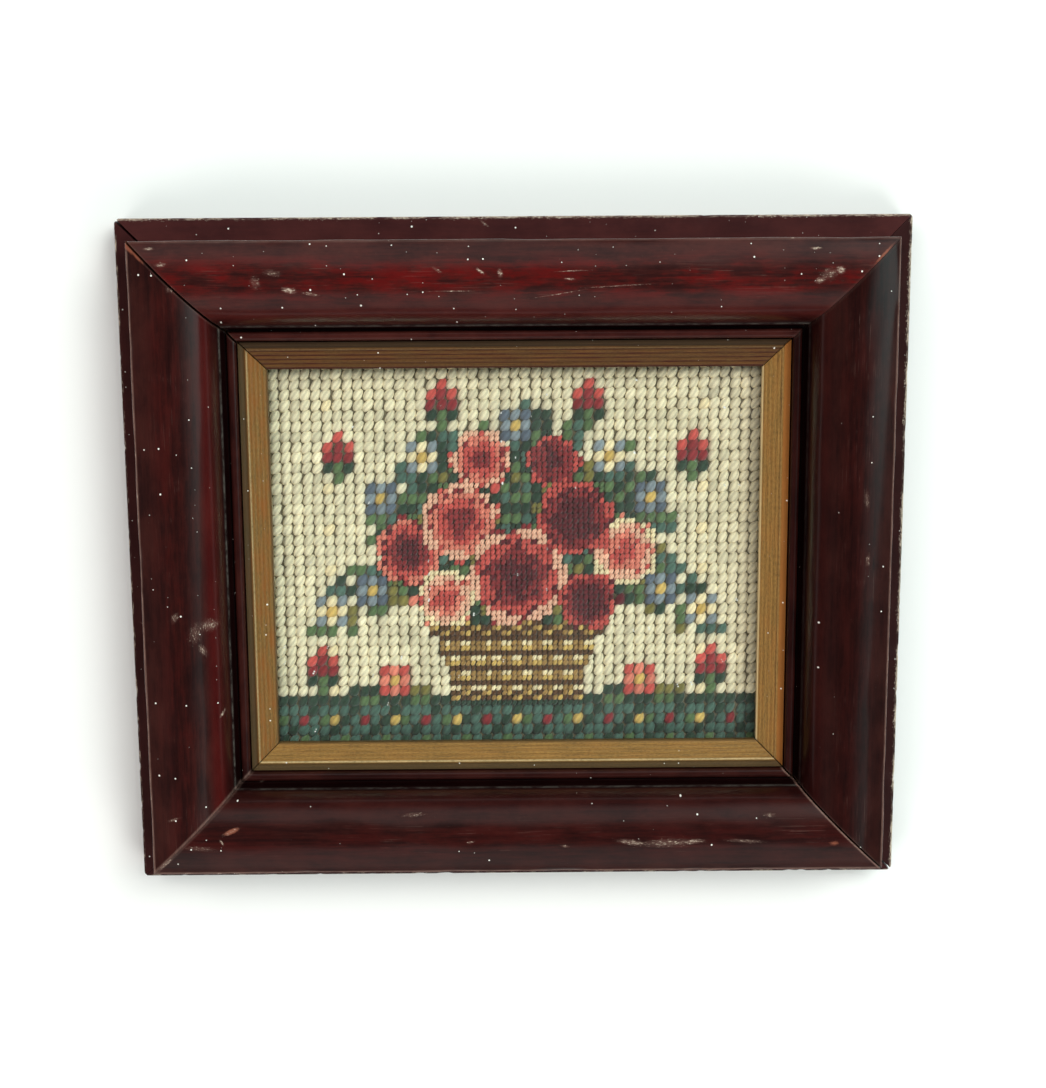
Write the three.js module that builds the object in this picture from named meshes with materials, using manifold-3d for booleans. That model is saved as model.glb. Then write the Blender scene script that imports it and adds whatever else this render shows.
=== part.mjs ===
// A small framed needlepoint picture, lying on its back with its face up.
// Millimetres. +Z points out of the picture's face, +Y to its top, and the origin lies on the back
// plane under the middle of the frame.
import * as THREE from "three";
import { mergeVertices } from "three/addons/utils/BufferGeometryUtils.js";
import Module from "manifold-3d";

// Driving dimensions
const sightWidth = 118; // the needlepoint that shows inside the gilt
const sightHeight = 92;
const faceWidth = 29.9; // from the sight edge out to the lip
const ledgeWidth = 5.6; // the low ledge outside the lip
const ledgeHeight = 9; // ledge above the back
const lipHeight = 22.5; // lip above the back
const rebateInward = 18.6; // lip to the rebate's wall
const rebateRoof = 12.2; // underside of the wood over the rebate, above the back
const slipUnderside = 10.3; // underside of the gilt slips, above the back
const fitGap = 0.3; // between pieces that touch
const glassThickness = 2;
const needlepointThickness = 2.2;
const boardThickness = 3;
const pointThickness = 0.7;
const pointWidth = 9;
const pointInWood = 4.2; // the driven end of a framer's point
const pointOverBoard = 7;
const paneClearance = 0.4; // glass, needlepoint and board to the rebate's wall

// Heights of the stack in the rebate, from the front to the back
const glassTop = slipUnderside - fitGap;
const needlepointTop = glassTop - glassThickness - fitGap;
const boardTop = needlepointTop - needlepointThickness - fitGap;
const pointTop = boardTop - boardThickness - fitGap;

// The cushion, from the lip over the crest and down its steep inner side
const cushion = [
  { inward: 0.5, rise: 0 },
  { inward: 3, rise: 1.2 },
  { inward: 6, rise: 2.1 },
  { inward: 9, rise: 2.4 },
  { inward: 12, rise: 1.9 },
  { inward: 14.6, rise: 0.8 },
  { inward: 17, rise: -0.9 },
  { inward: 18.6, rise: -2.9 },
  { inward: 19.3, rise: -5 },
];
const cushionSteps = 24;

// The narrow step and the quirk between the cushion and the bead
const quirk = [
  { inward: 19.4, rise: -5.4 },
  { inward: 19.95, rise: -5.5 },
  { inward: 20.05, rise: -8.4 },
  { inward: 20.3, rise: -8.7 },
  { inward: 20.8, rise: -8.7 },
];
const bead = { inward: 22.1, rise: -8.3, radius: 1.05, steps: 8 };
const woodEdge = bead.inward + bead.radius; // inner edge of the wood

// The gilt slip: a cove beside the wood, an arris, then reeds down to the sight edge
const slipFace = [
  { inward: woodEdge + fitGap, rise: -8.6 },
  { inward: 24, rise: -9.3 },
  { inward: 24.6, rise: -9.5 },
  { inward: 25.3, rise: -9.1 },
];
const reeds = { count: 4, from: 25.6, to: 29.6, startRise: -9.3, endRise: -10.3, depth: 0.22 };
const sightEdgeRise = -10.5;

const wasm = await Module();
wasm.setup();

const wood = { color: 0x4a1712, roughness: 0.35, metalness: 0 };
const gilt = { color: 0x9c7238, roughness: 0.45, metalness: 0.7 };
const glass = { color: 0xdfe8e6, roughness: 0.05, metalness: 0, transparent: true, opacity: 0.3 };
const stitches = { color: 0xb9b48f, roughness: 0.95, metalness: 0 };
const board = { color: 0x8a6a48, roughness: 0.9, metalness: 0 };
const steel = { color: 0x9a9ca0, roughness: 0.4, metalness: 1 };

const picture = new THREE.Group();

function addPiece(parent, name, geometry, finish) {
  const mesh = new THREE.Mesh(geometry, new THREE.MeshStandardMaterial(finish));
  mesh.name = name;
  parent.add(mesh);
}

function sectionPoint({ inward, rise }) {
  return new THREE.Vector2(inward, lipHeight + rise);
}

// Outline of a rail, anticlockwise from the back's outer corner.
function railSection() {
  const curve = new THREE.SplineCurve(cushion.map(sectionPoint)).getPoints(cushionSteps);
  const beadArc = [];
  for (let step = 0; step <= bead.steps; step++) {
    const angle = Math.PI * (1 - step / bead.steps);
    const inward = bead.inward + bead.radius * Math.cos(angle);
    beadArc.push(sectionPoint({ inward, rise: bead.rise + bead.radius * Math.sin(angle) }));
  }
  const ledgeChamfer = 0.4;
  const outline = [
    new THREE.Vector2(rebateInward, 0),
    new THREE.Vector2(rebateInward, rebateRoof),
    new THREE.Vector2(woodEdge, rebateRoof),
    ...beadArc.reverse(),
    ...quirk.map(sectionPoint).reverse(),
    ...curve.reverse(),
    sectionPoint({ inward: 0.1, rise: -0.2 }),
    sectionPoint({ inward: 0, rise: -0.6 }),
    new THREE.Vector2(0, ledgeHeight),
    new THREE.Vector2(ledgeChamfer - ledgeWidth, ledgeHeight),
    new THREE.Vector2(-ledgeWidth, ledgeHeight - ledgeChamfer),
    new THREE.Vector2(-ledgeWidth, 0),
  ];
  return outline;
}

// Outline of a gilt slip, with the flange that lies in the rebate behind the wood's edge.
function slipSection() {
  const flangeStart = rebateInward + fitGap;
  const flangeTop = rebateRoof - fitGap;
  const reedLine = [];
  for (let step = 0; step <= 2 * reeds.count; step++) {
    const along = step / (2 * reeds.count);
    const line = THREE.MathUtils.lerp(reeds.startRise, reeds.endRise, along);
    const rise = step % 2 === 0 ? line - reeds.depth : line;
    reedLine.push(sectionPoint({ inward: THREE.MathUtils.lerp(reeds.from, reeds.to, along), rise }));
  }
  return [
    new THREE.Vector2(flangeStart, slipUnderside),
    new THREE.Vector2(faceWidth, slipUnderside),
    sectionPoint({ inward: faceWidth, rise: sightEdgeRise }),
    ...reedLine.reverse(),
    ...slipFace.map(sectionPoint).reverse(),
    new THREE.Vector2(woodEdge + fitGap, flangeTop),
    new THREE.Vector2(flangeStart, flangeTop),
  ];
}

// A bar along X with 45 degree mitred ends. Its section is drawn as (inward, height), and a point
// further inward stands nearer the bar's middle, half a mitre gap back from the corner's plane.
function mitredBar(section, lipLength) {
  const geometry = new THREE.ExtrudeGeometry(new THREE.Shape(section), {
    depth: 1,
    steps: 1,
    bevelEnabled: false,
  });
  const places = geometry.attributes.position;
  const mitreShift = (fitGap / 2) * Math.SQRT2;
  for (let i = 0; i < places.count; i++) {
    const inward = places.getX(i);
    const height = places.getY(i);
    const side = places.getZ(i) > 0.5 ? 1 : -1;
    places.setXYZ(i, side * (lipLength / 2 - inward - mitreShift), inward, height);
  }
  geometry.computeVertexNormals();
  return geometry;
}

function toSolid(geometry) {
  const bare = geometry.clone();
  bare.deleteAttribute("normal");
  bare.deleteAttribute("uv");
  const merged = mergeVertices(bare, 1e-4);
  const vertProperties = new Float32Array(merged.attributes.position.array);
  const triVerts = new Uint32Array(merged.index.array);
  return new wasm.Manifold(new wasm.Mesh({ numProp: 3, vertProperties, triVerts }));
}

function toGeometry(solid) {
  const { vertProperties, triVerts } = solid.getMesh();
  const geometry = new THREE.BufferGeometry();
  geometry.setAttribute("position", new THREE.BufferAttribute(vertProperties, 3));
  geometry.setIndex(new THREE.BufferAttribute(triVerts, 1));
  geometry.computeVertexNormals();
  return geometry;
}

// A rail with the slits that its framer's points are driven into.
function railGeometry(lipLength, pointPlaces) {
  let rail = toSolid(mitredBar(railSection(), lipLength));
  const slitHeight = pointThickness + 2 * fitGap;
  const slitDepth = pointInWood + fitGap;
  const pastWall = 1;
  for (const along of pointPlaces) {
    const slit = new THREE.BoxGeometry(pointWidth + 2 * fitGap, slitDepth + pastWall, slitHeight);
    slit.translate(along, rebateInward + (pastWall - slitDepth) / 2, pointTop - pointThickness / 2);
    rail = rail.subtract(toSolid(slit));
  }
  return toGeometry(rail);
}

// A framer's point: a thin steel kite, its sharp end in the wood and its blunt end over the board.
function pointGeometry(along) {
  const wall = rebateInward;
  const outline = new THREE.Shape([
    new THREE.Vector2(along, wall - pointInWood),
    new THREE.Vector2(along + pointWidth / 2, wall + 0.2 * pointOverBoard),
    new THREE.Vector2(along + pointWidth / 6, wall + pointOverBoard),
    new THREE.Vector2(along - pointWidth / 6, wall + pointOverBoard),
    new THREE.Vector2(along - pointWidth / 2, wall + 0.2 * pointOverBoard),
  ]);
  const geometry = new THREE.ExtrudeGeometry(outline, { depth: pointThickness, bevelEnabled: false });
  geometry.translate(0, 0, pointTop - pointThickness);
  return geometry;
}

// The four sides. Each side's group stands at the middle of its lip and is turned so that its own
// +Y runs inward.
const lipWidth = sightWidth + 2 * faceWidth;
const lipDepth = sightHeight + 2 * faceWidth;
const sides = [
  { name: "bottom", length: lipWidth, x: 0, y: -lipDepth / 2, turn: 0, points: [-38, 38] },
  { name: "right", length: lipDepth, x: lipWidth / 2, y: 0, turn: 90, points: [-27, 27] },
  { name: "top", length: lipWidth, x: 0, y: lipDepth / 2, turn: 180, points: [-38, 38] },
  { name: "left", length: lipDepth, x: -lipWidth / 2, y: 0, turn: -90, points: [-27, 27] },
];
for (const side of sides) {
  const group = new THREE.Group();
  group.position.set(side.x, side.y, 0);
  group.rotation.z = THREE.MathUtils.degToRad(side.turn);
  addPiece(group, `rail_${side.name}`, railGeometry(side.length, side.points), wood);
  addPiece(group, `slip_${side.name}`, mitredBar(slipSection(), side.length), gilt);
  side.points.forEach((along, index) => {
    addPiece(group, `point_${side.name}_${index + 1}`, pointGeometry(along), steel);
  });
  picture.add(group);
}

// Flat layers in the rebate, from the front to the back
function addLayer(name, top, thickness, finish) {
  const inset = 2 * (rebateInward + paneClearance);
  const layer = new THREE.BoxGeometry(lipWidth - inset, lipDepth - inset, thickness);
  layer.translate(0, 0, top - thickness / 2);
  addPiece(picture, name, layer, finish);
}
addLayer("glass", glassTop, glassThickness, glass);
addLayer("needlepoint", needlepointTop, needlepointThickness, stitches);
addLayer("backing_board", boardTop, boardThickness, board);

export default picture;
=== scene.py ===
# A small framed needlepoint picture lying on its back: moulded wood rails, reeded gilt slips, glass,
# wool tent stitch on canvas, a backing board and framer's points.
import math
import bpy
import numpy as np
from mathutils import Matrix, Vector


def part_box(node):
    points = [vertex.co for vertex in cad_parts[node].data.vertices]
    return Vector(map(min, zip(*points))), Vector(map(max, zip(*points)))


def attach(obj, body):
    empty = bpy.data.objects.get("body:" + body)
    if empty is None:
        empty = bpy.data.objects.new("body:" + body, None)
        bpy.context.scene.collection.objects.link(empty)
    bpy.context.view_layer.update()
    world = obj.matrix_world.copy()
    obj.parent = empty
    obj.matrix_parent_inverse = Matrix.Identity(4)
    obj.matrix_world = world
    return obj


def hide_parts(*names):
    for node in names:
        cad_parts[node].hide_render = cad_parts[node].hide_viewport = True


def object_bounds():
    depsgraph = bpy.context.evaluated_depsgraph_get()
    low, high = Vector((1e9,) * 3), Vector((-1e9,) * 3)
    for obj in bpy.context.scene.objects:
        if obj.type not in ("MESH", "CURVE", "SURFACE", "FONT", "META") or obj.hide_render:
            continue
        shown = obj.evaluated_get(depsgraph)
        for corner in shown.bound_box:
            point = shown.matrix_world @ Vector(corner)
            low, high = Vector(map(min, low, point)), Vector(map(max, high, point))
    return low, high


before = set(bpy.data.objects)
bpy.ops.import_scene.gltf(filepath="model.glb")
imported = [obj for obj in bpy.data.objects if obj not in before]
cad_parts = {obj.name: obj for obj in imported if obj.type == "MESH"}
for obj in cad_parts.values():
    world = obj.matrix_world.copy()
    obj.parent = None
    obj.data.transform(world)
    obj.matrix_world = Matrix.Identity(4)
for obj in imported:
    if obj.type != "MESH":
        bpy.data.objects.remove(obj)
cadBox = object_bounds()
body = "root"
mm = 0.001


# Camera: a long lens above the top half of the frame, tipped towards its foot
camera = {
    "place": (-0.00027, 0.06756, 0.39451),  # metres
    "turn": (-9.513, -0.352, -0.351),  # degrees
    "focalPixels": 1600,
    "imageHeight": 1088,
    "sensorWidth": 36,
}


def makeCamera():
    lens = bpy.data.cameras.new("camera")
    lens.sensor_width = camera["sensorWidth"]
    lens.lens = lens.sensor_width * camera["focalPixels"] / camera["imageHeight"]
    eye = bpy.data.objects.new("camera", lens)
    eye.location = camera["place"]
    eye.rotation_euler = [math.radians(angle) for angle in camera["turn"]]
    bpy.context.collection.objects.link(eye)
    bpy.context.scene.camera = eye
    bpy.context.scene.view_settings.view_transform = "Standard"


makeCamera()
print("camera set")


# One output socket of a node tree. Sums, products and comparisons of wires add Math nodes.
class Wire:
    def __init__(self, tree, socket=None):
        self.tree = tree
        self.socket = socket

    # A new node: its settings go first, then the values or wires of its sockets
    def add(self, kind, settings=None, inputs=None, output=0):
        node = self.tree.nodes.new(kind)
        for key, value in (settings or {}).items():
            setattr(node, key, value)
        for key, value in (inputs or {}).items():
            if isinstance(value, Wire):
                self.tree.links.new(value.socket, node.inputs[key])
            else:
                node.inputs[key].default_value = value
        return Wire(self.tree, node.outputs[output] if node.outputs else None)

    def math(self, operation, *others):
        values = dict(enumerate([self, *others]))
        return self.add("ShaderNodeMath", {"operation": operation}, values)

    def __add__(self, other):
        return self.math("ADD", other)

    def __sub__(self, other):
        return self.math("SUBTRACT", other)

    def __rsub__(self, other):
        return self.add("ShaderNodeMath", {"operation": "SUBTRACT"}, {0: other, 1: self})

    def __mul__(self, other):
        return self.math("MULTIPLY", other)

    def __pow__(self, other):
        return self.math("POWER", other)

    __radd__ = __add__
    __rmul__ = __mul__

    # 0 at low, 1 at high and smooth between; it falls where low is the larger
    def step(self, low, high):
        ends = {"Value": self, "From Min": min(low, high), "From Max": max(low, high)}
        if low > high:
            ends.update({"To Min": 1.0, "To Max": 0.0})
        return self.add("ShaderNodeMapRange", {"interpolation_type": "SMOOTHSTEP"}, ends)

    # 1 from low to high, with soft ends
    def band(self, low, high, soft):
        return self.step(low - soft, low + soft) * self.step(high + soft, high - soft)

    # colour a where this is 0, b where it is 1
    def mix(self, a, b):
        colours = [colour if isinstance(colour, Wire) else (*colour, 1) for colour in (a, b)]
        inputs = {0: self, 6: colours[0], 7: colours[1]}
        return self.add("ShaderNodeMix", {"data_type": "RGBA"}, inputs, 2)

    # colour times a number
    def level(self, factor):
        grey = self.add("ShaderNodeCombineColor", None, {0: factor, 1: factor, 2: factor})
        both = {0: 1.0, 6: self, 7: grey}
        return self.add("ShaderNodeMix", {"data_type": "RGBA", "blend_type": "MULTIPLY"}, both, 2)

    def scaled(self, *factors):
        return self.add("ShaderNodeVectorMath", {"operation": "MULTIPLY"}, {0: self, 1: factors})

    def moved(self, *offset):
        return self.add("ShaderNodeVectorMath", {"operation": "ADD"}, {0: self, 1: offset})

    def part(self, axis):
        return self.add("ShaderNodeSeparateXYZ", None, {0: self}, axis)

    def length(self):
        return self.add("ShaderNodeVectorMath", {"operation": "LENGTH"}, {0: self}, 1)

    # the object's own coordinates
    def place(self):
        return self.add("ShaderNodeTexCoord", output=3)

    def attribute(self, name):
        return self.add("ShaderNodeAttribute", {"attribute_name": name}, output=1)

    # each row's colour laid over this one where the row's mask is 1
    def layers(self, *rows):
        colour = self
        for mask, shade in rows:
            colour = mask.mix(colour, shade)
        return colour

    def noise(self, scale=1.0, detail=3.0, roughness=0.55):
        inputs = {"Vector": self, "Scale": scale, "Detail": detail, "Roughness": roughness}
        return self.add("ShaderNodeTexNoise", None, inputs)

    def bump(self, distance, strength=1.0):
        inputs = {"Height": self, "Distance": distance, "Strength": strength}
        return self.add("ShaderNodeBump", None, inputs)


def newMaterial(name):
    material = bpy.data.materials.new(name)
    material.use_nodes = True
    material.node_tree.nodes.clear()
    return material, Wire(material.node_tree)


def output(shader):
    shader.add("ShaderNodeOutputMaterial", None, {"Surface": shader})


def principled(wire, finish):
    output(wire.add("ShaderNodeBsdfPrincipled", None, finish))


# screen colour, 0 to 255 each, to the linear light that shaders take
def screen(red, green, blue):
    parts = [part / 255 for part in (red, green, blue)]
    return tuple(p / 12.92 if p < 0.04045 else ((p + 0.055) / 1.055) ** 2.4 for p in parts)


# Dust: white specks on what faces up. One speck lies in each cell of a flat net of cells, and most
# cells are left out by the cell's own random number.
dust = {"cell": 3.6 * mm, "radius": 0.036, "share": 0.16, "colour": screen(236, 232, 224)}


def dustMask(wire, share):
    place = wire.place()
    facing = wire.add("ShaderNodeNewGeometry", output=1).part(2)
    cells = {"voronoi_dimensions": "2D"}
    inputs = {"Vector": place, "Scale": 1 / dust["cell"], "Randomness": 1.0}
    distance = wire.add("ShaderNodeTexVoronoi", cells, inputs, 0)
    chance = wire.add("ShaderNodeTexVoronoi", cells, inputs, 1).part(0)
    spread = wire.add("ShaderNodeTexVoronoi", cells, inputs, 1).part(1)
    size = dust["radius"] * (0.3 + 1.5 * spread**2)
    near = (distance - size).step(0.012, -0.012)
    return near * chance.step(share + 0.002, share - 0.002) * facing.step(0.2, 0.4)


# Mesh from points (n, 3) and lists of faces, each list an array (m, corners)
def newPiece(name, points, faces, material, smoothAngle=40, attributes=None):
    mesh = bpy.data.meshes.new(name)
    corners = np.concatenate([np.asarray(group).ravel() for group in faces])
    sizes = np.concatenate([np.full(len(group), len(group[0])) for group in faces])
    mesh.vertices.add(len(points))
    mesh.vertices.foreach_set("co", np.asarray(points, np.float32).ravel())
    mesh.loops.add(len(corners))
    mesh.loops.foreach_set("vertex_index", corners.astype(np.int32))
    mesh.polygons.add(len(sizes))
    mesh.polygons.foreach_set("loop_start", (np.cumsum(sizes) - sizes).astype(np.int32))
    mesh.update(calc_edges=True)
    mesh.validate()
    mesh.shade_smooth()
    mesh.set_sharp_from_angle(angle=math.radians(smoothAngle))
    for key, values in (attributes or {}).items():
        kind = "FLOAT" if values.ndim == 1 else "FLOAT_VECTOR"
        field = "value" if values.ndim == 1 else "vector"
        layer = mesh.attributes.new(key, kind, "POINT")
        layer.data.foreach_set(field, values.astype(np.float32).ravel())
    piece = bpy.data.objects.new(name, mesh)
    bpy.context.collection.objects.link(piece)
    mesh.materials.append(material)
    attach(piece, body)
    return piece


# Faces of a tube whose points run ring after ring: quads between rings, one flat face at each end
def tubeFaces(rings, around):
    ring = np.arange(rings - 1)[:, None] * around
    near = np.arange(around)[None, :]
    far = (near + 1) % around
    quads = np.stack([ring + near, ring + far, ring + around + far, ring + around + near], -1)
    ends = [np.arange(around)[::-1][None, :], (rings - 1) * around + np.arange(around)[None, :]]
    return [quads.reshape(-1, 4), *ends]


# A line of straight sides becomes one of soft corners: each corner gives way to a short parabola
# that touches both of its sides, at the corner's own cut from it or at the side's middle.
def softCorners(corners, cuts, steps):
    corners = np.array(corners, float)
    cuts = np.array(cuts, float)[:, None]
    sides = [np.roll(corners, shift, axis=0) - corners for shift in (1, -1)]
    lengths = [np.linalg.norm(side, axis=1, keepdims=True) for side in sides]
    touch = [corners + s / n * np.minimum(cuts, n / 2) for s, n in zip(sides, lengths)]
    t = np.linspace(0, 1, steps)[None, :, None]
    start, middle, end = touch[0][:, None], corners[:, None], touch[1][:, None]
    line = ((1 - t) ** 2 * start + 2 * t * (1 - t) * middle + t**2 * end).reshape(-1, 2)
    return line[np.linalg.norm(line - np.roll(line, 1, axis=0), axis=1) > 1e-3]


# Smooth line led by points (n, 2): a uniform cubic B-spline, in which each stretch blends four
# neighbouring points by weights that are cubic in the share along it.
def smoothLine(points, count):
    p = np.concatenate([points[:1], points[:1], points, points[-1:], points[-1:]])
    place = np.linspace(0, len(p) - 3, count)
    first = np.minimum(place.astype(int), len(p) - 4)
    t = (place - first)[:, None]
    weights = [(1 - t) ** 3, 3 * t**3 - 6 * t**2 + 4, -3 * t**3 + 3 * t**2 + 3 * t + 1, t**3]
    return sum(weight * p[first + k] for k, weight in enumerate(weights)) / 6


# Sizes of the frame, in mm, from the CAD pieces
half = np.array([cadBox[1].x, cadBox[1].y]) / mm  # half the frame's width and depth
ledge = {"width": 5.6, "height": 9.0}  # the low ledge outside the lip
lipHalf = half - ledge["width"]
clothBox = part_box("needlepoint")
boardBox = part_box("backing_board")
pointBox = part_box("point_bottom_1")
lipHeight = 22.5
# how much of its gap a mitre has: by height, and on the outer wall under the lip
mitreOpens = {"height": (6.0, 8.4), "share": (0.1, 1.0), "wall": (9.8, 21.7), "wallShare": 0.1}

# Corners go round from the bottom left, and side k runs from corner k to corner k + 1
sideNames = ["bottom", "right", "top", "left"]
cornerNames = ["bottomLeft", "bottomRight", "topRight", "topLeft"]


# x and y of the bottom side, turned about the picture's middle to another side's place
def turned(x, y, side):
    turn = math.radians(90 * side)
    return x * math.cos(turn) - y * math.sin(turn), x * math.sin(turn) + y * math.cos(turn)


# A straight bar of the frame: section (n, 2) of inward and height goes from one mitre to the other.
# Its place along the bar is the share s of the half length that is left at its distance inward, less
# half the mitre's gap, and the bar is then turned about the middle of the picture. The gap closes
# below the ledge's top and on the outer wall under the lip.
def barPoints(side, section, stations, gaps, ease=None):
    reach = lipHalf[side % 2]
    out = lipHalf[1 - side % 2]
    s = stations[:, None]
    inward = np.broadcast_to(section[:, 0], (len(stations), len(section))).copy()
    height = np.broadcast_to(section[:, 1], inward.shape).copy()
    if ease is not None:
        inward, height = ease(s * (reach - inward), reach, inward, height)
    gap = np.where(s < 0, gaps[0], gaps[1]) / math.sqrt(2)
    wallLow, wallHigh = mitreOpens["wall"]
    onWall = (np.abs(inward) < 0.4) & (height > wallLow) & (height < wallHigh)
    share = np.interp(height, mitreOpens["height"], mitreOpens["share"])
    gap = gap * np.where(onWall, mitreOpens["wallShare"], share)
    along = s * (reach - inward - gap)
    points = np.stack([*turned(along, inward - out, side), height], -1).reshape(-1, 3) * mm
    return points, np.stack([along, inward, height], -1).reshape(-1, 3)


# Shares from -1 to 1, closer together towards the ends
def stationsAlong(count):
    t = np.linspace(-1, 1, count)
    return 0.7 * t + 0.3 * np.sin(t * math.pi / 2)


# Slow random line of about unit size: random values at even places, joined smoothly
def wander(rng, places, spacing):
    reach = np.abs(places).max() + spacing
    knots = np.arange(-reach, reach + spacing, spacing)
    values = rng.normal(size=len(knots))
    cell = np.clip(np.searchsorted(knots, places) - 1, 0, len(knots) - 2)
    t = (places - knots[cell]) / spacing
    t = t * t * (3 - 2 * t)
    return values[cell] * (1 - t) + values[cell + 1] * t


# Wood rails
rail = {
    "rebateInward": 18.6,
    "rebateRoof": 12.2,
    "beadInward": 22.1,
    "beadRadius": 1.05,
    "beadRise": -8.3,
    "cornerSteps": 5,
    "cushionSteps": 48,
    "stations": 201,
    "cornerRound": 0.9,  # at the ledge's outer corners
    "gaps": {"bottomLeft": 0.07, "bottomRight": 0.45, "topRight": 0.08, "topLeft": 0.55},
}
# inward from the lip and rise above the lip; the other rows add how much of the corner is cut away
cushion = [
    (0.35, -0.04),
    (1.2, 0.42),
    (3.0, 1.28),
    (6.0, 2.26),
    (9.0, 2.6),
    (12.0, 2.08),
    (14.6, 0.93),
    (17.0, -0.83),
    (18.7, -3.0),
    (19.4, -5.35),
]
lip = [(0.0, -12.4, 0), (0.0, -0.95, 0), (0.0, -0.6, 0.25), (0.1, -0.15, 0.12)]
quirk = [(19.95, -5.5, 0.1), (20.05, -8.3, 0.3), (20.4, -8.75, 0.3), (20.95, -8.7, 0.15)]
# how far the hand-finished rails stray from the section, in mm, and over what length
strays = {
    "dentDepth": 0.16,
    "dentLength": 1.7,
    "lipAcross": 0.07,
    "lipAcrossLength": 9,
    "lipUp": 0.05,
    "lipUpLength": 6,
    "swell": 0.045,
    "swellLength": 14,
}


# Section of a rail: the outer wall, the ledge, the lip, the cushion as one smooth line, the quirk, the
# bead as a half round and the rebate behind. Each corner has its own cut.
def railSection():
    radius = rail["beadRadius"]
    beadTop = rail["beadRise"] + radius
    beadOuter, beadInner = rail["beadInward"] - radius, rail["beadInward"] + radius
    bead = [(beadOuter, beadTop, radius), (beadInner, beadTop, radius)]
    crest = smoothLine(np.array(cushion), rail["cushionSteps"])
    crest = [(inward, rise, 0.0) for inward, rise in crest]
    raised = [(inward, lipHeight + rise, cut) for inward, rise, cut in lip + crest + quirk + bead]
    rows = [
        (-ledge["width"], 0, 0.5),
        (-ledge["width"], ledge["height"], 0.6),
        (0, ledge["height"], 0.35),
        *raised,
        (beadInner, rail["rebateRoof"], 0.15),
        (rail["rebateInward"], rail["rebateRoof"], 0.2),
        (rail["rebateInward"], 0, 0.3),
    ]
    rows = np.array(rows)[::-1]
    return softCorners(rows[:, :2], rows[:, 2], rail["cornerSteps"])


# The hand-finished bar: the ledge's outer edge is dented and rounded off at its corners, the lip
# wanders a little and the cushion swells and sinks by some hundredths.
def railEase(side):
    rng = np.random.default_rng(40 + side)

    def ease(along, reach, inward, height):
        outer = np.clip((0.5 - inward) / (ledge["width"] + 0.5), 0, 1)
        radius = rail["cornerRound"]
        fromEnd = reach + ledge["width"] - np.abs(along)
        d = np.clip(fromEnd, 0.29 * radius, radius)
        rounded = radius - np.sqrt(radius**2 - (radius - d) ** 2)
        arris = np.exp(-(((inward + ledge["width"]) / 0.5) ** 2))
        top = np.exp(-(((height - ledge["height"]) / 0.8) ** 2))
        dents = np.clip(wander(rng, along, strays["dentLength"]) - 0.7, 0, 1.2) * strays["dentDepth"]
        atLip = np.exp(-((inward / 0.7) ** 2)) * (height > lipHeight - 2)
        swell = np.clip(inward / 6, 0, 1) * np.clip((19 - inward) / 4, 0, 1) * (height > 15)
        newInward = inward + outer**4 * rounded + arris * top * dents
        across = strays["lipAcross"] * wander(rng, along, strays["lipAcrossLength"])
        sink = arris * top * dents + 0.5 * arris * top * rounded
        up = strays["lipUp"] * wander(rng, along, strays["lipUpLength"])
        rise = strays["swell"] * wander(rng, along + 3 * inward, strays["swellLength"])
        return newInward + atLip * across, height - sink + atLip * up + swell * rise

    return ease


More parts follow.
